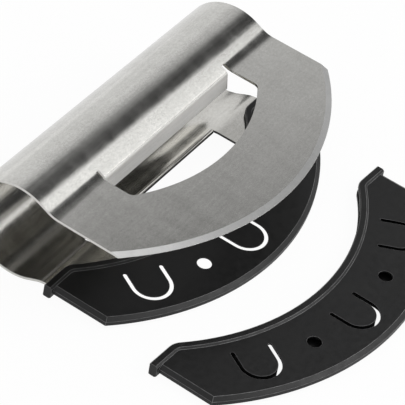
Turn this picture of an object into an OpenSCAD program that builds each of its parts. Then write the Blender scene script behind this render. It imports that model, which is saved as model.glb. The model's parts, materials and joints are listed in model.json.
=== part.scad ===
// Double-bladed mezzaluna bent from one steel sheet, with a plastic guard for each blade.
// It lies on its side: front blade up and bare, back blade down in its guard, spare guard in front.
// X runs along the handle, Y from the cutting edges to the handle, Z up from the table.

/* [Knife] */
// Length of the knife along its handle
knife_len = 165; // [150:1:175]
// Thickness of the bent sheet
sheet_t = 1.2; // [1:0.1:1.4]
// Width across the outer faces of the two blades
blade_span = 38.2; // [36.6:0.2:39.4]
// Depth of the cutting arc below the blade corners
edge_drop = 31.2; // [29:0.2:33]
// Width of the ground bevel along the cutting edge
bevel_w = 2.8; // [1.5:0.1:3.5]
// Thickness left at the sharp edge
edge_land = 0.2; // [0.1:0.05:0.4]

/* [Handle] */
// Outer radius of the handle tube
handle_r = 24.4; // [23.8:0.1:25]
// Height of the flat part of a blade above its corners
blade_flat_h = 29.7; // [29:0.1:30.4]
// Slope of the sheet between the handle and each blade
neck_slope = 24.5; // [23:0.5:27]
// Outer radius of the bend between that slope and the blade
neck_r = 14; // [10:0.5:16]

/* [Windows] */
// Length of the finger window in each blade
window_len = 98.6; // [90:0.2:104]
// How far the slope under the handle runs on above a window, where the blade has its bend
top_flat = 3.2; // [2.4:0.1:3.6]
// Steel left between the window and the cutting edge
blade_band = 33.4; // [31:0.2:35]
// Radius of the lower corners of the window
window_corner_r = 3.6; // [2:0.1:5]
// Gap between the end of a folded lip and the side of its window
lip_relief = 2; // [1:0.1:3]
// Reach of the front lip in from the outside of the sheet
lip_reach = 9; // [8:0.1:10]
// Angle between the front lip and the plane of its blade
lip_fold = 80; // [70:1:88]
// Outer bend radius of the front lip
lip_bend_r = 2.4; // [2:0.1:3]
// Height of the turned-back edge of the back hem
hem_back = 1.6; // [1:0.1:2.5]
// Gap inside the back hem
hem_gap = 0.3; // [0.2:0.05:0.5]

/* [Guards] */
// Thickness of a guard over its flat faces
guard_t = 4.8; // [4.6:0.1:5.4]
// Distance from the cutting edge to the rim of the guard
rim_out = 2.2; // [2:0.1:2.6]
// Distance from the blade end to the end of the guard
guard_end = 1.8; // [1.6:0.1:2.2]
// Distance from the shoulders of a guard up to the bend of the neck
shoulder_gap = 0.1; // [0.1:0.1:1]
// Height of the middle of the mouth above the blade corners
mouth_mid_h = 3.3; // [3:0.1:4]
// Radius of the curve of the mouth
mouth_r = 105; // [103:1:108]
// Radius of the rounded shoulder beside the mouth
shoulder_r = 8; // [7:0.5:9]
// Width of the chamfer round the rim and the ends
rim_chamfer_w = 2; // [1:0.1:2.2]
// Height of that chamfer
rim_chamfer_h = 1.4; // [1:0.1:1.5]
// Width of the bead along the mouth
bead_w = 3; // [2.5:0.1:3.3]
// Height of the bead over the flat face
bead_h = 0.75; // [0.5:0.05:0.9]
// Width of the slope that runs the bead out into the face
bead_slope = 0.9; // [0.5:0.1:1.2]
// Chamfer along the outer edges of the bead
bead_chamfer = 0.4; // [0.2:0.05:0.6]
// Overhang of the bead past the ends of the guard
bead_end = 1.5; // [1:0.1:2]
// Gap between the blade and each wall of its guard, which the tongues reach across
fit_gap = 0.9; // [0.7:0.05:1]
// Gap between the cutting edge and the floor of the guard
edge_gap = 0.5; // [0.4:0.05:0.6]
// Gap between the blade and the face of each tongue
tongue_gap = 0.05; // [0.02:0.01:0.15]

/* [Tongues] */
// Angle along the arc between a tongue and the next hole
feature_turn = 14.5; // [14:0.1:15]
// Distance from the cutting edge in to the root of a tongue
root_in = 22.3; // [21.5:0.1:23]
// Distance from the root of a tongue to the middle of the slot at its tip
tongue_reach = 16.7; // [15:0.1:17.5]
// Width across the slot round a tongue, from middle to middle
slot_span = 17.3; // [16:0.1:18]
// Width of that slot
slot_w = 1.7; // [1.4:0.1:2]
// Width of the slot round a tongue of the lower wall
lower_slot_w = 4.4; // [3.6:0.1:4.8]
// How far the slot in the lower wall runs in past the root of its tongue
lower_slot_in = 3; // [2:0.1:3.2]
// Diameter of the round holes between the tongues
hole_d = 6.5; // [5.5:0.1:7]
// Distance from the cutting edge in to the centre of a hole
hole_in = 14.8; // [14:0.1:15.5]

/* [Layout] */
// How far the spare guard lies in front of the place it would have on the knife
spare_forward = 62; // [60:1:75]
// How far the spare guard lies to the left of that place
spare_left = 8.4; // [2:0.2:12]
// Angle that the spare guard is turned clockwise
spare_turn = 2.7; // [1:0.1:4]

/* [Hidden] */
$fa = 2;
$fs = 0.4;

steel = [0.72, 0.72, 0.7];
plastic = [0.15, 0.15, 0.15];

// Every cut runs this far past the face that it leaves
cut_over = 2;

function half(s) = s / 2;
function slant(a, b) = sqrt(a * a + b * b);
function upright(c, a) = sqrt(c * c - a * a);

// Cutting arc: a circle through both corners of the blade
half_len = half(knife_len);
edge_r = half((half_len * half_len + edge_drop * edge_drop) / edge_drop);
arc_h = edge_r - edge_drop;

// Neck: a bend that touches the blade's outer face and the slope down from the handle
blade_out = half(blade_span);
blade_mid = blade_out - half(sheet_t);
// The slope and the blade run a hair into each bend, so that they meet it in one clean edge
bend_bite = 0.01;
neck_z = blade_out + neck_r - bend_bite;
bends_apart = handle_r + neck_r - bend_bite - bend_bite;
neck_rise = (bends_apart - neck_z * cos(neck_slope)) / sin(neck_slope);
handle_rise = blade_flat_h + neck_rise;

// Deep enough to reach past the handle from either side
handle_span = handle_rise + handle_r + cut_over;

// Window: it opens at the bend of the neck, where a flat strip runs on to the lip or the hem
cut_turn = 1;
window_turn = neck_slope - cut_turn;
half_window = half(window_len);
window_r = edge_r - blade_band;
corner_x = half_window - window_corner_r;
corner_h = arc_h - upright(window_r - window_corner_r, corner_x);
corner_touch_x = corner_x * window_r / (window_r - window_corner_r);
lip_len = window_len - lip_relief - lip_relief;
lip_flat = (lip_reach - lip_bend_r * (cos(neck_slope) - cos(lip_fold))) / sin(lip_fold);
hem_r = sheet_t + half(hem_gap);
hem_fold = 180;
// Part of its bend by which a lip or hem starts inside the sheet that carries it
root_turn = 5;
// Each strip and lip is thinner than the sheet that it starts in by so much on each face
strip_step = bend_bite + bend_bite;
lip_step = strip_step + bend_bite;
strip_root = 0.5;

// Guard: shoulder circles touch the mouth curve and the shoulder line
guard_r = edge_r + rim_out;
guard_half_len = half_len + guard_end;
bead_half_len = guard_half_len + bead_end;
pocket_t = sheet_t + fit_gap + fit_gap;
bead_t = guard_t + bead_h + bead_h;
mouth_h = mouth_mid_h + mouth_r;
shoulder_h = blade_flat_h - shoulder_gap;
shoulder_mid_h = shoulder_h - shoulder_r;
shoulder_x = upright(mouth_r + shoulder_r, mouth_h - shoulder_mid_h);
mouth_half_turn = asin(shoulder_x / (mouth_r + shoulder_r));

// Tongue: straight sides and a round tip, inside a slot of even width
slot_r = half(slot_span);
tongue_r = slot_r - half(slot_w);
tip_in = tongue_reach - slot_r;
tongue_turn = feature_turn + feature_turn;

// Lying: the table touches the rim of the lower guard and the round of the handle
rest_h = arc_h - (guard_r - rim_chamfer_w);
rest_z = blade_mid + half(guard_t);
rest_run = handle_rise - rest_h;
lean = asin(handle_r / slant(rest_run, rest_z)) - atan(rest_z / rest_run);
lift = rest_z * cos(lean) - rest_h * sin(lean);

// Middle of the whole layout, seen from above
bead_low_h = shoulder_h - bead_w;
left_x = bead_low_h * sin(spare_turn) - bead_half_len * cos(spare_turn) - spare_left;
front_y = arc_h * cos(spare_turn) - guard_r - spare_forward;
back_y = handle_rise * cos(lean) + handle_r;
mid_x = half(left_x + bead_half_len);
mid_y = half(front_y + back_y);

// Filled section of the knife, drawn smaller by inset on every side
module keyhole(inset) {
  tube_reach = handle_r - inset - bend_bite;
  bend_reach = neck_r + inset - bend_bite;
  top_z = tube_reach * cos(neck_slope);
  top_h = handle_rise - tube_reach * sin(neck_slope);
  bend_z = neck_z - bend_reach * cos(neck_slope);
  bend_h = blade_flat_h + bend_reach * sin(neck_slope);
  translate([0, handle_rise]) circle(handle_r - inset);
  difference() {
    union() {
      polygon([
        [-top_z, top_h],
        [top_z, top_h],
        [bend_z, bend_h],
        [bend_z, blade_flat_h],
        [-bend_z, blade_flat_h],
        [-bend_z, bend_h]
      ]);
      translate([inset - blade_out, -edge_drop - inset])
        square([blade_span - inset - inset, edge_drop + bend_h + inset]);
    }
    for (side = [-1, 1])
      translate([side * neck_z, blade_flat_h]) circle(neck_r + inset);
  }
}

module sheet_section() {
  difference() {
    keyhole(0);
    keyhole(sheet_t);
  }
}

// Space below the top of the windows, ending square across the sheet on each side
module below_top() {
  reach = neck_r + sheet_t + cut_over;
  for (side = [0, 1])
    mirror([side, 0])
      polygon([
        [-neck_z - cut_over, blade_flat_h],
        [-neck_z, blade_flat_h],
        [reach * cos(window_turn) - neck_z, blade_flat_h + reach * sin(window_turn)],
        [reach * cos(window_turn) - neck_z, -edge_drop - cut_over],
        [-neck_z - cut_over, -edge_drop - cut_over]
      ]);
}

// Turns a section into a length along the knife, with its left side to the front
module along(run) {
  rotate([0, 90, 0]) linear_extrude(run, center = true) children();
}

module blade_outline(grow, top_h) {
  intersection() {
    translate([-half_len - grow, -edge_drop - cut_over])
      square([knife_len + grow + grow, edge_drop + cut_over + top_h]);
    union() {
      translate([0, arc_h]) circle(edge_r + grow);
      translate([-half_len - grow, 0]) square([knife_len + grow + grow, top_h]);
    }
  }
}

module window_outline() {
  translate([-half_window, corner_h]) square([window_len, handle_rise - corner_h]);
  intersection() {
    translate([0, arc_h]) circle(window_r);
    translate([-corner_touch_x, -edge_drop])
      square([corner_touch_x + corner_touch_x, edge_drop + corner_h]);
  }
  for (side = [-1, 1])
    translate([side * corner_x, corner_h]) circle(window_corner_r);
}

// Ring that grinds the outer face of a blade down to the edge land
module bevel_ring() {
  slope = (sheet_t - edge_land) / bevel_w;
  rotate_extrude()
    polygon([
      [edge_r - bevel_w, 0],
      [edge_r + cut_over, -slope * (bevel_w + cut_over)],
      [edge_r + cut_over, cut_over],
      [edge_r - bevel_w, cut_over]
    ]);
}

// Filled shape inside a bend, with the straight part that follows it, a little past its middle
module bend_shape(r, fold, flat_len, past) {
  circle(r);
  rotate(fold) translate([bend_bite - r, -flat_len]) square([r + past, flat_len]);
}

// Edge of the sheet bent inwards round its bend radius, then straight for its flat length
module folded_edge(bend_r, fold, flat_len) {
  far = bend_r + flat_len + cut_over;
  turn = fold + 90;
  past = turn > 180 ? [[far, far]] : [];
  translate([bend_r, 0]) intersection() {
    difference() {
      bend_shape(bend_r - lip_step, fold, flat_len, 0);
      bend_shape(bend_r - sheet_t + lip_step, fold, flat_len + cut_over, bend_bite);
    }
    polygon(concat(
      [[0, 0], [-far * cos(root_turn), far * sin(root_turn)], [-far, -far], [far, -far]],
      past,
      [[-far * cos(turn), -far * sin(turn)]]
    ));
  }
}

// Flat strip that runs on from the slope above a window, and what is folded from its lower edge
module window_top() {
  along(lip_len) translate([-neck_z, blade_flat_h]) rotate(neck_slope) translate([neck_r, -top_flat]) {
    translate([strip_step, 0]) square([sheet_t - strip_step - strip_step, top_flat + strip_root]);
    children();
  }
}

module bent_sheet() {
  difference() {
    intersection() {
      along(knife_len) sheet_section();
      linear_extrude(handle_span, center = true) blade_outline(0, handle_span);
    }
    intersection() {
      along(knife_len) below_top();
      linear_extrude(handle_span, center = true) window_outline();
    }
    for (side = [0, 1])
      mirror([0, 0, side]) translate([0, arc_h, blade_out]) bevel_ring();
  }
}

module knife_body() {
  color(steel) on_table() {
    bent_sheet();
    window_top() folded_edge(lip_bend_r, lip_fold - neck_slope, lip_flat);
    mirror([0, 0, 1]) window_top() folded_edge(hem_r, hem_fold, hem_back);
  }
}

// Moves the upright knife into its lying place
module on_table() {
  translate([-mid_x, -mid_y, lift]) rotate([lean, 0, 0]) children();
}

// A guard is drawn round its own middle plane, under the blade that it fits
module in_fitted_place() {
  on_table() translate([0, 0, -blade_mid]) children();
}

module in_spare_place() {
  translate([-spare_left - mid_x, -spare_forward - mid_y, half(bead_t)])
    rotate(-spare_turn) children();
}

// Wall outline that ends inside the bead, so its corners at the shoulders stay sharp
module under_mouth() {
  inset = half(bead_w);
  floor_h = -edge_drop - rim_out - cut_over;
  difference() {
    translate([-bead_half_len, floor_h])
      square([bead_half_len + bead_half_len, shoulder_h - inset - floor_h]);
    translate([0, mouth_h]) circle(mouth_r + inset);
  }
}

// Slab as thick as the guard, with a chamfer at both faces of one side
module chamfered_half(reach) {
  polygon([
    [0, -half(guard_t)],
    [reach - rim_chamfer_w, -half(guard_t)],
    [reach, rim_chamfer_h - half(guard_t)],
    [reach, half(guard_t) - rim_chamfer_h],
    [reach - rim_chamfer_w, half(guard_t)],
    [0, half(guard_t)]
  ]);
}

module guard_blank() {
  intersection() {
    linear_extrude(bead_t, center = true) under_mouth();
    translate([0, arc_h]) rotate_extrude() chamfered_half(guard_r);
    translate([0, arc_h]) rotate([90, 0, 0]) linear_extrude(guard_r + guard_r, center = true)
      for (side = [0, 1]) mirror([side, 0]) chamfered_half(guard_half_len);
  }
}

// Section of the bead: depth into the wall to the right, thickness up and down
module bead_section() {
  for (side = [0, 1])
    mirror([0, side])
      polygon([
        [0, 0],
        [0, half(bead_t) - bead_chamfer],
        [bead_chamfer, half(bead_t)],
        [bead_w, half(bead_t)],
        [bead_w + bead_slope, half(guard_t)],
        [bead_w + bead_slope, 0]
      ]);
}

// Wedge that opens upwards from the vertical to the left
module wedge(turn, reach) {
  linear_extrude(bead_t + cut_over, center = true)
    polygon([[0, 0], [0, reach], [-reach * tan(turn), reach]]);
}

module bead() {
  mouth_reach = (mouth_r + bead_w + bead_slope + cut_over) / cos(mouth_half_turn);
  translate([0, mouth_h]) intersection() {
    rotate_extrude() translate([mouth_r, 0]) bead_section();
    for (side = [0, 1])
      mirror([side, 0]) mirror([0, 1]) wedge(mouth_half_turn, mouth_reach * cos(mouth_half_turn));
  }
  for (side = [0, 1])
    mirror([side, 0]) {
      translate([shoulder_x, shoulder_mid_h]) intersection() {
        rotate_extrude() translate([shoulder_r, 0]) mirror([1, 0]) bead_section();
        wedge(mouth_half_turn, shoulder_r + cut_over);
      }
      translate([shoulder_x, shoulder_h]) rotate([0, 90, 0])
        linear_extrude(bead_half_len - shoulder_x) rotate(-90) bead_section();
    }
}

// Places something on the arc with its own Y axis pointing in to the arc's centre
module on_arc(turn, inwards) {
  translate([0, arc_h]) rotate(turn) translate([0, inwards - edge_r]) children();
}

// Straight sides down from the root and a round tip
module tongue_outline(r) {
  intersection() {
    union() {
      translate([0, -tip_in]) circle(r);
      translate([-r, -tip_in]) square([r + r, tip_in]);
    }
    translate([-r - cut_over, -tip_in - r - cut_over])
      square([r + r + cut_over + cut_over, tip_in + r + cut_over]);
  }
}

// Place of a tongue and the slot round it, which runs in past the root by past_root
module tongue_opening(width, past_root) {
  tongue_outline(tongue_r + width);
  for (side = [-1, 1])
    translate([side * (tongue_r + half(width)), past_root]) {
      circle(half(width));
      translate([-half(width), -past_root - tip_in]) square([width, past_root + tip_in]);
    }
}

// Cuts through one wall, from the middle plane of the guard outwards
module through_wall() {
  linear_extrude(half(bead_t + cut_over)) children();
}

// The upper wall has a hole on each side of its middle tongue, the lower wall has none
module guard() {
  difference() {
    union() {
      guard_blank();
      bead();
    }
    linear_extrude(pocket_t, center = true)
      blade_outline(edge_gap, shoulder_h + cut_over);
    for (turn = [-tongue_turn, 0, tongue_turn]) {
      through_wall() on_arc(turn, root_in) tongue_opening(slot_w, 0);
      mirror([0, 0, 1]) through_wall()
        on_arc(turn, root_in) tongue_opening(lower_slot_w, lower_slot_in);
    }
    for (turn = [-feature_turn, feature_turn])
      through_wall() on_arc(turn, hole_in) circle(half(hole_d));
  }
}

module guard_fitted() {
  color(plastic) in_fitted_place() guard();
}

module guard_spare() {
  color(plastic) in_spare_place() guard();
}

// Spring tongue, from just clear of the blade to the outer face of the guard
module tongue(turn, upper) {
  mirror([0, 0, upper ? 0 : 1])
    translate([0, 0, half(sheet_t) + tongue_gap])
      linear_extrude(half(guard_t - sheet_t) - tongue_gap)
        on_arc(turn, root_in) tongue_outline(tongue_r);
}

module fitted_tongue(turn, upper) {
  color(plastic) in_fitted_place() tongue(turn, upper);
}

module spare_tongue(turn, upper) {
  color(plastic) in_spare_place() tongue(turn, upper);
}

knife_body();
guard_fitted();
guard_spare();
fitted_tongue(-tongue_turn, true);  // fitted_upper_tongue_left
fitted_tongue(0, true);  // fitted_upper_tongue_middle
fitted_tongue(tongue_turn, true);  // fitted_upper_tongue_right
fitted_tongue(-tongue_turn, false);  // fitted_lower_tongue_left
fitted_tongue(0, false);  // fitted_lower_tongue_middle
fitted_tongue(tongue_turn, false);  // fitted_lower_tongue_right
spare_tongue(-tongue_turn, true);  // spare_upper_tongue_left
spare_tongue(0, true);  // spare_upper_tongue_middle
spare_tongue(tongue_turn, true);  // spare_upper_tongue_right
spare_tongue(-tongue_turn, false);  // spare_lower_tongue_left
spare_tongue(0, false);  // spare_lower_tongue_middle
spare_tongue(tongue_turn, false);  // spare_lower_tongue_right
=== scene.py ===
# %% [markdown]
# A double-bladed mezzaluna lies on its side on a white table.
# One sheet of steel makes both blades and the tubular handle. One blade is bare, the other is in a
# black plastic guard, and the spare guard lies in front.
# The CAD model gives every size and every moving body. This lesson gives the pieces soft edges,
# brushed steel, moulded plastic, a photographer's lights and a camera.

import json
import math

import bmesh
import bpy
from mathutils import Matrix, Vector


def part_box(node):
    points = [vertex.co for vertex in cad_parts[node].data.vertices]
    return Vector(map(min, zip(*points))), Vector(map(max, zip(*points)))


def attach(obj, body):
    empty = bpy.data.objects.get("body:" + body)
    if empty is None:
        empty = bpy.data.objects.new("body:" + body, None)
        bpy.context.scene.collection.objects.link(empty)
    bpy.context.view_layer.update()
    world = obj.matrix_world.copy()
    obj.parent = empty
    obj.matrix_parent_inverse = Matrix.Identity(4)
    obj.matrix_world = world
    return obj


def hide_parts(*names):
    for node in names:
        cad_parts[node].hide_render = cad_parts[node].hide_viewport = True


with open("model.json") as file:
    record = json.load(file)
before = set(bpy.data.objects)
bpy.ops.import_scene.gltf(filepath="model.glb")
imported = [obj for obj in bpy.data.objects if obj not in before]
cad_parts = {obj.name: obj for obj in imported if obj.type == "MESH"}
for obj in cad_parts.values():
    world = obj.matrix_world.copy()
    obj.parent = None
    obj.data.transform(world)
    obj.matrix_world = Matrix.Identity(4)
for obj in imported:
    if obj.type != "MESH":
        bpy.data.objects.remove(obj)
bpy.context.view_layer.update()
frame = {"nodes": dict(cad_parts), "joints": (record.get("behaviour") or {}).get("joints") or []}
MM = 0.001
UP = Vector((0, 0, 1))

# %% [markdown]
# Every solid is sharp where two faces meet. Real sheet is deburred, and a moulded guard has soft
# edges, because the mould does. A Bevel modifier could round them all, but it would also open a
# groove where a spring tongue grows out of its guard. So the edges are chosen one by one. A tongue
# bends about its root, so its hinge tells where the root is.

# %% Where the tongues grow out of their guards
ROOTS = [
    (Vector(joint["pos_m"]), Vector(joint["axis"]).normalized())
    for joint in frame["joints"]
    if joint["type"] == "hinge"
]
print(len(ROOTS), "tongue roots")

# %% [markdown]
# An edge belongs to a root if it runs along the hinge, is near it, and lies in the upright plane
# through it. A very short edge never counts, because its direction says little.

# %% Tell a root edge from the rest
ROOT_REACH = 9 * MM
ROOT_PLANE_REACH = 0.25 * MM
SHORTEST_RUN = 0.2 * MM
ALONG = 0.9995


def lies_at_root(a, b):
    """True for an edge between a and b that runs along the root of a tongue."""
    run = b - a
    if run.length < SHORTEST_RUN:
        return False
    run.normalize()
    middle = (a + b) / 2
    for place, axis in ROOTS:
        offset = middle - place
        if abs(run.dot(axis)) < ALONG or offset.length > ROOT_REACH:
            continue
        across = offset - axis * offset.dot(axis)
        wall = UP - axis * axis.z
        in_face = axis.cross(wall.normalized())
        if abs(across.dot(in_face)) < ROOT_PLANE_REACH:
            return True
    return False


print("a root edge is within", ROOT_PLANE_REACH / MM, "mm of its hinge's plane")


# %% [markdown]
# A CAD solid arrives as many triangles with doubled points. It could be shown like that, but only
# whole faces can be rounded cleanly. So the solid is copied, its doubled points are welded, its flat
# triangles are joined again, and then the chosen sharp edges are rounded.

# %% Weld, join and round a solid
WELD = 0.002 * MM
FLAT = math.radians(0.2)


def put_in_scene(name, data):
    """A new object called name that holds data."""
    obj = bpy.data.objects.new(name, data)
    bpy.context.scene.collection.objects.link(obj)
    return obj


def softened(node, name, width, angle, skip=None, weld=WELD, strip_slot=0):
    """A copy of a solid, called name, with edges sharper than angle rounded to width.

    Edges that skip says True to stay sharp. The rounded strips get the finish in strip_slot."""
    mesh = frame["nodes"][node].data.copy()
    mesh.name = name
    bm = bmesh.new()
    bm.from_mesh(mesh)
    bmesh.ops.remove_doubles(bm, verts=bm.verts, dist=weld)
    bmesh.ops.dissolve_limit(bm, angle_limit=FLAT, verts=bm.verts, edges=bm.edges)
    sharp = []
    for edge in bm.edges:
        if len(edge.link_faces) == 2 and edge.calc_face_angle(0) > math.radians(angle):
            if skip is None or not skip(edge.verts[0].co, edge.verts[1].co):
                sharp.append(edge)
    bmesh.ops.bevel(
        bm,
        geom=sharp,
        offset=width,
        offset_type="OFFSET",
        segments=2,
        profile=0.5,
        affect="EDGES",
        clamp_overlap=True,
        miter_outer="SHARP",
        material=strip_slot,
    )
    for face in bm.faces:
        face.smooth = True
    bm.to_mesh(mesh)
    bm.free()
    print(f"{name}: {len(sharp)} edges rounded, {len(mesh.polygons)} faces")
    return put_in_scene(name, mesh)


# %% [markdown]
# Rounded strips should shade smoothly into the faces beside them, while a large flat face has to
# stay flat. More faces would do it too, but weights cost none: each large face pulls the shading its
# own way, and edges steeper than a given angle stay crisp.

# %% Keep flat faces flat
LARGE_FACE_WEIGHT = 60


def shade_soft(piece, angle):
    """Smooth shading across edges flatter than angle, with the large faces kept flat."""
    mesh = piece.data
    bm = bmesh.new()
    bm.from_mesh(mesh)
    for edge in bm.edges:
        edge.smooth = edge.calc_face_angle(0) < math.radians(angle)
    bm.to_mesh(mesh)
    bm.free()
    weighted = piece.modifiers.new("flat faces stay flat", "WEIGHTED_NORMAL")
    weighted.keep_sharp = True
    weighted.weight = LARGE_FACE_WEIGHT


print("pieces are shaded after they are rounded")


# %% [markdown]
# The knife is one bent sheet. Only its rim is deburred: a tenth of a millimetre is enough to catch
# a line of light. The ground bevel along each cutting edge meets the blade at a crisp line of about
# twenty degrees, which stays sharp.

# %% Make the knife
knife = softened("knife_body", "knife", width=0.1 * MM, angle=40, weld=0.035 * MM)
shade_soft(knife, angle=14)
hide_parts("knife_body")
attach(knife, "knife")

# %% [markdown]
# The guards are moulded in black plastic. Their edges are softer than the sheet's, because no mould
# has truly sharp corners. The rounded strips are marked, since they get a painted highlight of their
# own.

# %% Make the guards
MOULDED, SLOT_SHADE, EDGE_HIGHLIGHT = range(3)
guards = []
for node, body in (("guard_fitted", "fitted_guard"), ("guard_spare", "spare_guard")):
    name = node.replace("guard_", "") + "_guard_shell"
    shell = softened(node, name, 0.26 * MM, 20, lies_at_root, strip_slot=EDGE_HIGHLIGHT)
    shade_soft(shell, angle=40)
    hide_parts(node)
    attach(shell, body)
    guards.append(shell)

# %% [markdown]
# The tongues are cut free by their slots and grip the blade. They are rounded like the guards, but
# not along the root, where they are one with the wall. Each is a piece by itself, because it bends.

# %% Make the twelve tongues
tongues = []
for node in sorted(n for n in frame["nodes"] if "tongue" in n):
    leaf = softened(node, node + "_leaf", 0.18 * MM, 20, lies_at_root, strip_slot=EDGE_HIGHLIGHT)
    shade_soft(leaf, angle=40)
    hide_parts(node)
    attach(leaf, node)
    tongues.append(leaf)


# %% [markdown]
# Shader maths could be drawn as boxes and links, but it reads best as plain sums. So a small class
# wraps a socket and lends it the usual operators, and each sum adds its own Math node.

# %% A socket that can be added and multiplied
class Wire:
    """A socket of a node tree that takes part in sums."""

    def __init__(self, bench, socket):
        self.bench = bench
        self.socket = socket

    def sum_node(self, operation, *values):
        sockets = dict(enumerate(values))
        return self.bench.node("ShaderNodeMath", {"operation": operation}, sockets)

    def __add__(self, other):
        return self.sum_node("ADD", self, other)

    def __radd__(self, other):
        return self.sum_node("ADD", other, self)

    def __sub__(self, other):
        return self.sum_node("SUBTRACT", self, other)

    def __rsub__(self, other):
        return self.sum_node("SUBTRACT", other, self)

    def __mul__(self, other):
        return self.sum_node("MULTIPLY", self, other)

    def __rmul__(self, other):
        return self.sum_node("MULTIPLY", other, self)


print("wires can be summed")


# %% [markdown]
# One method makes every other node: it sets the node's own settings first, and then the values or
# links of its sockets. The few nodes that every finish needs get short names beside it: a blend of
# two colours, a value stretched between limits, and noise in steps per millimetre.

# %% A bench that makes nodes
MIX_SHARE, MIX_LOW, MIX_HIGH, MIX_RESULT = 0, 6, 7, 2


class Bench:
    """Makes the nodes of one node tree."""

    def __init__(self, tree):
        self.tree = tree
        tree.nodes.clear()

    def node(self, kind, settings=None, sockets=None, out=0):
        """The output out of a new node of the type kind."""
        made = self.tree.nodes.new(kind)
        for key, value in (settings or {}).items():
            if key == "stops":
                self.set_stops(made.color_ramp, value)
            else:
                setattr(made, key, value)
        for key, value in (sockets or {}).items():
            if isinstance(value, Wire):
                self.tree.links.new(value.socket, made.inputs[key])
            else:
                made.inputs[key].default_value = value
        return Wire(self, made.outputs[out]) if made.outputs else None

    @staticmethod
    def set_stops(ramp, stops):
        while len(ramp.elements) < len(stops):
            ramp.elements.new(1)
        for element, (place, grey) in zip(ramp.elements, stops):
            element.position = place
            element.color = (grey, grey, grey, 1)

    def blend(self, low, high, share):
        """The colour low where share is 0, and high where it is 1."""
        sockets = {MIX_SHARE: share, MIX_LOW: (*low, 1), MIX_HIGH: (*high, 1)}
        return self.node("ShaderNodeMix", {"data_type": "RGBA"}, sockets, out=MIX_RESULT)

    def clamp(self, value, low, high, new_low=0.0, new_high=1.0):
        """value stretched from low..high to new_low..new_high, and held there."""
        sockets = {"From Min": low, "From Max": high, "To Min": new_low, "To Max": new_high}
        return self.node("ShaderNodeMapRange", {}, {"Value": value, **sockets})

    def noise(self, steps, detail, rough, turn=0.0):
        """Noise on the piece's own coordinates, with so many steps per millimetre along x, y, z."""
        own = self.node("ShaderNodeTexCoord", out="Object")
        scale = tuple(step / MM for step in steps)
        sockets = {"Vector": own, "Rotation": (0, 0, turn), "Scale": scale}
        where = self.node("ShaderNodeMapping", {}, sockets)
        sockets = {"Vector": where, "Scale": 1.0, "Detail": detail, "Roughness": rough}
        return self.node("ShaderNodeTexNoise", {}, sockets)

    def skin(self, colour, rough, height, depth):
        """The varying sockets of a finish, with height as a bump that is depth deep."""
        sockets = {"Strength": 1.0, "Distance": depth, "Height": height}
        bump = self.node("ShaderNodeBump", {}, sockets)
        return {"Base Color": colour, "Roughness": rough, "Normal": bump}

    def glow(self, colour):
        """A surface that shines with colour by itself."""
        return self.node("ShaderNodeEmission", {}, {"Color": colour, "Strength": 1.0})

    def show(self, surface):
        """Makes surface the material's surface."""
        self.node("ShaderNodeOutputMaterial", {}, {"Surface": surface})


print("benches are ready")


# %% [markdown]
# All metal and plastic here is one Principled shader with different values. What varies over a
# piece comes from a function of its own, and what is the same everywhere is set straight on the
# shader, so that the two can't be mixed up.

# %% A finish on its bench
def empty_material(name):
    material = bpy.data.materials.new(name)
    material.use_nodes = True
    return material, Bench(material.node_tree)


def finish(name, looks, **plain):
    """A material. looks gets the bench and returns the sockets that vary; plain are fixed."""
    material, bench = empty_material(name)
    sockets = {key.replace("_", " "): value for key, value in plain.items()}
    sockets.update(looks(bench))
    bench.show(bench.node("ShaderNodeBsdfPrincipled", {}, sockets))
    print("finish:", name)
    return material


# %% [markdown]
# The sheet is brushed along the handle. Each scratch tips the light across the grain, never along
# it, so the reflections of the lamps smear into bands. Anisotropic shading could smear them too, but
# fine streaks a tenth of a millimetre wide in the bump also show as real scratches. Wider streaks,
# faint clouds and a sandy grain change the tone and the roughness only a little, by shares that add
# up to one. Steel is a touch warm, and the more often light bounces inside the handle, the browner
# it gets.

# %% Brushed steel
def brushed_looks(bench, dark, light, rough_low, rough_high):
    hair = bench.noise((0.03, 5.0, 5.0), 3.0, 0.6)
    streak = bench.noise((0.03, 0.7, 0.7), 2.0, 0.5)
    cloud = bench.noise((0.07, 0.07, 0.07), 4.0, 0.6)
    smudge = bench.noise((0.16, 0.05, 0.05), 3.0, 0.6, turn=0.35)
    sand = bench.noise((1.1, 2.0, 2.0), 2.0, 0.8)
    speck = bench.noise((0.5, 0.8, 0.8), 2.0, 0.7)
    wear = streak * 0.13 + cloud * 0.15 + smudge * 0.18 + sand * 0.33 + speck * 0.21
    colour = bench.blend(dark, light, bench.clamp(wear, 0.38, 0.62))
    rough = bench.clamp(smudge * 0.6 + streak * 0.4, 0.35, 0.65, rough_low, rough_high)
    return bench.skin(colour, rough, hair + streak * 0.25 + sand * 0.3, 0.0024 * MM)


def outer_looks(bench):
    return brushed_looks(bench, (0.525, 0.520, 0.498), (0.71, 0.705, 0.68), 0.13, 0.19)


def inner_looks(bench):
    return brushed_looks(bench, (0.56, 0.55, 0.52), (0.74, 0.73, 0.70), 0.14, 0.20)


brushed_steel = finish("brushed sheet steel", outer_looks, Metallic=1.0)
inner_steel = finish("inner side of the sheet", inner_looks, Metallic=1.0)


# %% [markdown]
# The lip over the front window was folded after polishing. Bending opens the skin of the steel, so
# it is duller than the sheet beside it and gathers light from a wide piece of the room. Its pale
# colour and part-metal shine are painted light: a lamp of its own would light the blade too, so the
# lip is made rough and painted pale instead.

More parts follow.
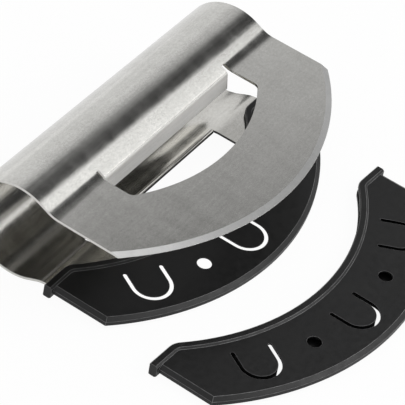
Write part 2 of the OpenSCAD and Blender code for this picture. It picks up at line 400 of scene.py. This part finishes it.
# %% Steel of the folded lip, painted pale
def painted_pale_lip_looks(bench):
    streak = bench.noise((0.05, 1.2, 1.2), 3.0, 0.6)
    sand = bench.noise((1.1, 2.0, 2.0), 2.0, 0.8)
    tone = bench.clamp(streak * 0.5 + sand * 0.5, 0.35, 0.65)
    # Painted light: the pale colour stands for light falling on the lip.
    colour = bench.blend((0.74, 0.73, 0.705), (0.90, 0.89, 0.86), tone)
    rough = bench.clamp(streak, 0.3, 0.7, 0.50, 0.62)
    return bench.skin(colour, rough, sand + streak, 0.003 * MM)


lip_steel_painted_pale = finish("folded lip steel", painted_pale_lip_looks, Metallic=0.65)


# %% [markdown]
# The bevel is ground by a wheel that runs across the edge, so its scratches stand square to the
# curve, and coarse scratches make its roughness high. Fresh steel is whiter than the brushed sheet,
# so its dark colour here is painted shade: it stands for the darker reflection that the bevel shows.

# %% Ground bevel, painted dark
def ground_looks(bench):
    grind = bench.noise((3.5, 0.6, 0.6), 3.0, 0.6)
    cloud = bench.noise((0.2, 0.2, 0.2), 2.0, 0.5)
    # Painted shade: the bevel's colour is darkened to stand for the dark reflection it shows.
    colour = bench.blend((0.26, 0.26, 0.26), (0.37, 0.37, 0.365), grind)
    rough = bench.clamp(grind * 0.6 + cloud * 0.4, 0.3, 0.7, 0.28, 0.42)
    return bench.skin(colour, rough, grind, 0.002 * MM)


ground_steel_painted_dark = finish("ground bevel steel", ground_looks, Metallic=1.0)

# %% [markdown]
# The polishing belt reaches the outside of the sheet. The inside keeps the smoother skin of the
# mill. The faces could be picked by hand, but there are hundreds, and sums tell them apart. Round
# the handle a face looks towards its middle line or away from it, and on the blades it looks towards
# the gap between them or away. A bevel shows by its slope to the blade.

# %% Directions in the knife's own frame
HANDLE_R = 24.4 * MM
draw = Vector(frame["joints"][0]["axis"]).normalized()
face_up = Vector((0, -draw.z, draw.y))
knife_high = Vector(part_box("knife_body")[1])
handle_middle = Vector((0, knife_high.y - HANDLE_R, knife_high.z - HANDLE_R))
print("the handle's middle line is at", [round(v, 4) for v in handle_middle])

# %% [markdown]
# All distances are measured from the handle's middle line: back is along the direction in which the
# knife is drawn, and up is square to the blades.

# %% Tell the sides of the sheet apart
OUTSIDE, BEVEL, INSIDE, LIP = range(4)
BEVEL_SLOPES = (17, 22)
BEVEL_BACK = -20 * MM
BEVEL_UP = 17 * MM
LIP_BACK = -24 * MM
LIP_UP = 9 * MM
LIP_FACING = -0.75
END_FACING = 0.5


def steel_side(face):
    """OUTSIDE for the brushed outside and the cut edges, or else BEVEL, INSIDE or LIP."""
    offset = face.center - handle_middle
    offset.x = 0
    back, up = offset.dot(draw), offset.dot(face_up)
    slope = math.degrees(math.acos(min(1, abs(face.normal.dot(face_up)))))
    sloping = BEVEL_SLOPES[0] < slope < BEVEL_SLOPES[1]
    if sloping and back < BEVEL_BACK and abs(up) > BEVEL_UP:
        return BEVEL
    if abs(face.normal.x) > END_FACING:
        return OUTSIDE
    if up > LIP_UP and face.normal.dot(draw) < LIP_FACING and back > LIP_BACK:
        return LIP
    outwards = face.normal.dot(offset) if back > 0 else face.normal.dot(face_up) * up
    return INSIDE if outwards < 0 else OUTSIDE


sides = [steel_side(face) for face in knife.data.polygons]
print("outside, bevel, inside and lip faces:", [sides.count(side) for side in range(4)])


# %% [markdown]
# A piece can hold several materials, and each face says by number which one it wears. That keeps the
# knife one piece, as it is in the real one, with four finishes on it.

# %% Put the steel on the knife
def dress(piece, materials, choice):
    """Gives piece the materials, with choice as the number of the one for each face."""
    piece.data.materials.clear()
    for material in materials:
        piece.data.materials.append(material)
    piece.data.polygons.foreach_set("material_index", choice)
    print(piece.name, "wears", len(materials), "finishes")


dress(knife, (brushed_steel, ground_steel_painted_dark, inner_steel, lip_steel_painted_pale), sides)


# %% [markdown]
# The guards are a hard black plastic with a satin skin. The mould leaves a very fine grain, and
# slow waves where thick and thin walls cool at different speeds. One flat black would look painted,
# so a little grey dust and rubbed spots vary the tone.

# %% Moulded black plastic
PLASTIC_IOR = 1.37


def moulded_looks(bench):
    grain = bench.noise((3.2, 3.2, 3.2), 2.0, 0.6)
    wave = bench.noise((0.06, 0.06, 0.06), 2.0, 0.5)
    rub = bench.noise((0.35, 0.35, 0.35), 5.0, 0.65)
    tone = bench.clamp(rub * 0.6 + grain * 0.4, 0.35, 0.68)
    colour = bench.blend((0.004, 0.004, 0.0042), (0.009, 0.009, 0.0093), tone)
    rough = bench.clamp(rub * 0.7 + wave * 0.3, 0.35, 0.65, 0.34, 0.47)
    return bench.skin(colour, rough, grain * 0.5 + wave * 3.0, 0.006 * MM)


moulded_plastic = finish("moulded black plastic", moulded_looks, IOR=PLASTIC_IOR)


# %% [markdown]
# A thin blade of the mould forms each slot. It leaves matt walls, and no light gets in between them,
# so a slot looks deep and black. The lamps can't be kept out of it, so the same plastic is made
# rougher there and painted darker, as painted shade. The walls of the slots are the upright faces
# within reach of a tongue's hinge.

# %% Plastic of the slot walls, painted with shade
def slot_looks(bench):
    grain = bench.noise((2.2, 2.2, 2.2), 3.0, 0.6)
    # Painted shade: the walls are coloured darker to stand for the shade inside the slots.
    colour = bench.blend((0.0012, 0.0012, 0.0012), (0.0035, 0.0035, 0.0036), grain)
    rough = bench.clamp(grain, 0.3, 0.7, 0.75, 0.9)
    return bench.skin(colour, rough, grain, 0.008 * MM)


slot_plastic_painted_dark = finish("matt plastic of the slots", slot_looks, IOR=1.1)
SLOT_REACH = 16 * MM
SLOPE_OF_WALLS = 0.5


def in_slot(face):
    """True for an upright face of a guard or tongue that is near a tongue's hinge."""
    if abs(face.normal.dot(face_up)) > SLOPE_OF_WALLS:
        return False
    return min((face.center - place).length for place, _ in ROOTS) < SLOT_REACH


# %% [markdown]
# Thin light lines along the edges are what draws a black guard's shape in the photograph. They are
# highlights. A strip of light beside the guard would also whiten the steel, so the rounded strips
# are painted lighter instead, as a painted highlight, and given a smoother skin.

# %% Painted highlight on the edges of the plastic
def edge_highlight_looks(bench):
    rub = bench.noise((0.25, 0.25, 0.25), 4.0, 0.6)
    tone = bench.clamp(rub, 0.3, 0.65)
    # Painted highlight: the rounded edges are coloured lighter, in patches, to stand for the light
    # they catch.
    colour = bench.blend((0.05, 0.05, 0.0505), (0.15, 0.15, 0.151), tone)
    rough = bench.clamp(rub, 0.3, 0.7, 0.36, 0.26)
    return bench.skin(colour, rough, rub, 0.004 * MM)


edge_plastic_painted_highlight = finish("rubbed plastic edges", edge_highlight_looks, IOR=PLASTIC_IOR)

# %% [markdown]
# When the edges were rounded, the strips were marked for the painted highlight and all else stayed
# moulded. Those marks are read first and the slot walls with painted shade are added, because new
# materials wipe the marks.

# %% Put the plastics on the guards and tongues
for piece in guards + tongues:
    wear = [SLOT_SHADE if in_slot(face) else face.material_index for face in piece.data.polygons]
    dress(piece, (moulded_plastic, slot_plastic_painted_dark, edge_plastic_painted_highlight), wear)
    print("moulded, shade-painted and highlight-painted faces:", [wear.count(look) for look in range(3)])


# %% [markdown]
# The table is white and runs out of sight, so its edge can't be seen from anywhere. It lies a hair
# below the knife, because two faces in the same place flicker.

# %% Lay the table
TABLE_REACH = 6.0
TABLE_DROP = 0.02 * MM


def rectangle(name, width, height):
    """A flat mesh round its own middle."""
    w, h = width / 2, height / 2
    mesh = bpy.data.meshes.new(name)
    mesh.from_pydata([(-w, -h, 0), (w, -h, 0), (w, h, 0), (-w, h, 0)], [], [(0, 1, 2, 3)])
    return mesh


table = put_in_scene("table", rectangle("table", 2 * TABLE_REACH, 2 * TABLE_REACH))
table.location.z = -TABLE_DROP
print("table laid,", 2 * TABLE_REACH, "m wide")

# %% [markdown]
# The camera sees the table as plain white with the faint shade of the knife left in: most of what
# the camera sees is white by itself, and a share is lit. More lamps could whiten it as well, but
# they would bleach the steel.

# %% White paper on the table
WHITE_WHEN_SEEN = 0.955
WHITE_WHEN_MIRRORED = 0.6

paper, bench = empty_material("white table")
seen = bench.node("ShaderNodeLightPath", out="Is Camera Ray")
mirrored = bench.node("ShaderNodeLightPath", out="Is Glossy Ray")
share = bench.clamp(seen * WHITE_WHEN_SEEN + mirrored * WHITE_WHEN_MIRRORED, 0, 1)
lit = bench.node("ShaderNodeBsdfDiffuse", {}, {"Color": (0.9, 0.9, 0.9, 1)})
plain_white = bench.glow((1, 1, 1, 1))
bench.show(bench.node("ShaderNodeMixShader", {}, {0: share, 1: lit, 2: plain_white}))
table.data.materials.append(paper)
print("white by itself when seen:", WHITE_WHEN_SEEN)

# %% [markdown]
# A white room lights the knife evenly from all round. To the camera and to the steel it is full
# white; as a lamp it is a little weaker, so that one softbox can give the light a direction.

# %% White room
ROOM_AS_LAMP = 0.65

world = bpy.data.worlds.new("white room")
bpy.context.scene.world = world
world.use_nodes = True
bench = Bench(world.node_tree)
rays = [
    bench.node("ShaderNodeLightPath", out=ray)
    for ray in ("Is Camera Ray", "Is Glossy Ray", "Is Transmission Ray")
]
seen = bench.clamp(rays[0] + rays[1] + rays[2], 0, 1)
strength = seen * (1 - ROOM_AS_LAMP) + ROOM_AS_LAMP
room = bench.node("ShaderNodeBackground", {}, {"Color": (1, 1, 1, 1), "Strength": strength})
bench.node("ShaderNodeOutputWorld", {}, {"Surface": room})
print("room lit")


# %% [markdown]
# Polished metal only shows what stands round it. A photographer hangs cards and flags where a white
# room would leave the steel flat. Lamps could draw the bands too, but a card gives each band its own
# edge: it glows by a formula of the place across, u, and up, v, in metres from its middle. Only
# reflections see it, so that it neither shows in the picture nor shades the table.

# %% A card that only reflections see
KNIFE_MIDDLE = Vector((0.004, 0.035, 0.03))
AWAY = Vector((0, 1, 0))


def facing(obj, place, target, up):
    """Puts obj at place with its face to target and its own Y as near up as can be."""
    normal = (target - place).normalized()
    side = up.cross(normal).normalized()
    turn = Matrix((side, normal.cross(side), normal)).transposed()
    obj.matrix_world = Matrix.Translation(place) @ turn.to_4x4()


def card(name, place, width, height, glow, target=KNIFE_MIDDLE, up=AWAY):
    """A card at place that faces target and whose light is the number glow(bench, u, v)."""
    obj = put_in_scene(name, rectangle(name, width, height))
    facing(obj, place, target, up)
    material, bench = empty_material(name)
    own = bench.node("ShaderNodeTexCoord", out="Object")
    u, v = (
        bench.node("ShaderNodeSeparateXYZ", {}, {"Vector": own}, out=axis) for axis in "XY"
    )
    bench.show(bench.glow(glow(bench, u, v)))
    obj.data.materials.append(material)
    for ray in ("camera", "diffuse", "shadow"):
        setattr(obj, "visible_" + ray, False)
    print(name, "hung at", [round(v, 2) for v in place])


# %% [markdown]
# The first card is graded. It is black along a band, which draws the dark stripes beside the neck,
# and grows lighter upwards, which gives the blade its middle grey and the handle its pale one. It is
# darker to the left, as the blade is. Beyond both ends of the band it is light again, and the two
# ends of the ground bevel shine with it.

# %% Hang the graded card
CARD_HALF = 0.95
CARD_STOPS = [
    (0.0, 0.06),
    (0.22, 0.06),
    (0.31, 0.12),
    (0.375, 0.27),
    (0.437, 0.345),
    (0.484, 0.52),
    (0.568, 0.69),
    (0.653, 0.78),
    (1.0, 0.79),
]


def graded(bench, u, v):
    height = bench.clamp(v, -CARD_HALF, CARD_HALF)
    grade = bench.node("ShaderNodeValToRGB", {"stops": CARD_STOPS}, {"Fac": height})
    leaning = bench.clamp(v, -0.15, 0.02, 4.8, 0.4) + bench.clamp(v, -0.35, -0.18, -5.0, 0)
    sideways = 1 - leaning * bench.clamp(u, -0.22, 0.2, -0.22, 0.2)
    ends = bench.clamp(u, 0.45, 0.65) * 5.0 + bench.clamp(u, -0.36, -0.54) * 1.6
    return grade * sideways + ends * bench.clamp(v, -0.25, -0.45)


card(
    "graded card",
    KNIFE_MIDDLE + Vector((0.874, 0.48, 0.963)),
    2 * CARD_HALF,
    2 * CARD_HALF,
    graded,
)

# %% [markdown]
# Beyond the black band hangs a bright card, which makes the slope of the neck the lightest stripe.
# Low in front stands a black one. The sheet's inside sees it through the gap between the blades,
# so the handle is dark inside.

# %% Hang the bright card and the low black one
card(
    "bright card",
    KNIFE_MIDDLE + Vector((0.874, -0.57, 0.78)),
    1.9,
    0.5,
    lambda bench, u, v: bench.clamp(v, -0.25, 0.2, 1.1, 1.5)
    * bench.clamp(u, -0.06, 0.06, 1.07, 0.86),
)
card(
    "low black card",
    KNIFE_MIDDLE + Vector((1.0, -1.11, 0.195)),
    2.6,
    0.55,
    lambda bench, u, v: bench.clamp(v, 0.19, 0.275, 0.05, 0.4),
    up=UP,
)

# %% [markdown]
# What bounces along inside the handle leaves it at the right end and would meet the white room. A
# black flag stands before that end, for reflections only, so that the inside falls off into brown
# and black, as in the photograph.

# %% Hang the end flag
card(
    "end flag",
    Vector((0.16, 0.055, 0.024)),
    0.12,
    0.047,
    lambda bench, u, v: bench.clamp(v, -0.03, 0.03, 0.02, 0.04),
    up=UP,
)


# %% [markdown]
# Other light leaves the handle through the windows or between the blades, and then meets the table.
# One large black cloth would darken the guards too, so three smaller ones lie under the handle,
# beyond it and far in front. The one under the handle is a painted shadow: to reflections the table
# glows white, so this dark card stands for the knife's shade on it. The guards still mirror a white
# table.

# %% Lay the cloths and the painted shadow
CLOTH_LIFT = 0.2 * MM


def cloth(name, low, high, glow):
    """A card flat on the table, between the corners low and high."""
    place = Vector(((low[0] + high[0]) / 2, (low[1] + high[1]) / 2, CLOTH_LIFT))
    card(name, place, high[0] - low[0], high[1] - low[1], glow, target=place + UP)


# Painted shadow: this dark card stands for the knife's shade on the table as the steel mirrors it,
# and fades out away from the knife.
cloth(
    "cloth under the handle",
    (-0.06, 0.012),
    (0.10, 0.085),
    lambda bench, u, v: bench.clamp(v, 0.0, 0.036, 0.04, 0.6),
)
cloth(
    "cloth beyond the end",
    (0.101, -0.14),
    (0.5, 0.085),
    lambda bench, u, v: bench.clamp(v, 0.07, 0.11, 0.03, 0.5),
)
cloth(
    "cloth in front",
    (-0.2, -1.2),
    (1.2, -0.18),
    lambda bench, u, v: bench.clamp(u, -0.7, 0.7, 0.05, 0.03),
)

# %% [markdown]
# The photograph burns the slots of the guard on the knife out to white, because the steel right
# behind them throws the studio's light straight back. Thin white flags stand for that glare. They
# lie just under the skin of the upper wall, fill its openings, and only the camera sees them. Their
# outlines are read from the guard, so they fit without being drawn.

# %% Find the slots in the upper wall
UPRIGHT = 0.1
LEVEL = 0.999
SKIN_REACH = 0.1 * MM


def slot_edges(bm):
    """The edges where the upper skin of the fitted guard drops into a slot or a hole."""
    hinge = next(j for j in frame["joints"] if j["name"] == "fitted_upper_middle_flex")
    skin = Vector(hinge["pos_m"]).dot(face_up)
    found = []
    for edge in bm.edges:
        tilts = sorted(abs(face.normal.dot(face_up)) for face in edge.link_faces)
        drops = len(tilts) == 2 and tilts[0] < UPRIGHT and tilts[1] > LEVEL
        if drops and abs(edge.verts[0].co.dot(face_up) - skin) < SKIN_REACH:
            found.append(edge)
    return found


print("an opening is where the skin at the height of a hinge drops upright")

# %% [markdown]
# Everything but those edges is cut away from a copy of the guard. Each closed line that is left is
# filled with a face, and the faces are sunk under the skin.

# %% Glare in the slots
GLARE_DEPTH = 0.3 * MM

bm = bmesh.new()
bm.from_mesh(frame["nodes"]["guard_fitted"].data)
bmesh.ops.remove_doubles(bm, verts=bm.verts, dist=WELD)
keep = set(slot_edges(bm))
bmesh.ops.delete(bm, geom=[edge for edge in bm.edges if edge not in keep], context="EDGES")
bmesh.ops.edgeloop_fill(bm, edges=bm.edges)
bmesh.ops.translate(bm, verts=bm.verts, vec=-face_up * GLARE_DEPTH)
flags = put_in_scene("glare_flags", bpy.data.meshes.new("glare flags"))
bm.to_mesh(flags.data)
bm.free()
glare, bench = empty_material("glare")
bench.show(bench.glow((1, 1, 1, 1)))
flags.data.materials.append(glare)
for ray in ("diffuse", "glossy", "transmission", "shadow"):
    setattr(flags, "visible_" + ray, False)
print("glare flags:", len(flags.data.polygons))

# %% [markdown]
# One large softbox stands to the front right, high up. It whitens the slope of the neck and gives
# the guards a long soft highlight. A small lamp would give them hard shadows instead.

# %% Softbox
lamp = bpy.data.lights.new("front softbox", "AREA")
lamp.shape = "SQUARE"
lamp.size = 0.9
lamp.energy = 9.0
softbox = put_in_scene("front softbox", lamp)
softbox.location = (0.5, -0.9, 1.1)
softbox.rotation_euler = (KNIFE_MIDDLE - softbox.location).to_track_quat("-Z", "Y").to_euler()
print("front softbox", lamp.energy, "W")

# %% [markdown]
# The photograph looks down over the left end of the handle, from far away through a long lens. The
# camera's place and turn come from a fit of the CAD model's corners to the picture.

# %% Camera
lens = bpy.data.cameras.new("camera")
lens.sensor_fit = "HORIZONTAL"
lens.sensor_width = 36
lens.lens = 217.836
lens.clip_start = 0.05
lens.clip_end = 30
camera = put_in_scene("camera", lens)
camera.location = (-0.71448, -0.34648, 0.71297)
camera.rotation_euler = [math.radians(a) for a in (48.45136, -7.52305, -56.43473)]
bpy.context.scene.camera = camera
print("camera", round((camera.location - KNIFE_MIDDLE).length, 3), "m away")

# %% [markdown]
# Blender can bend the tones of a picture like film does. A product on white needs plain tones,
# where full white stays full white.

# %% Plain colours
settings = bpy.context.scene.view_settings
settings.view_transform = "Standard"
print("view transform:", settings.view_transform)
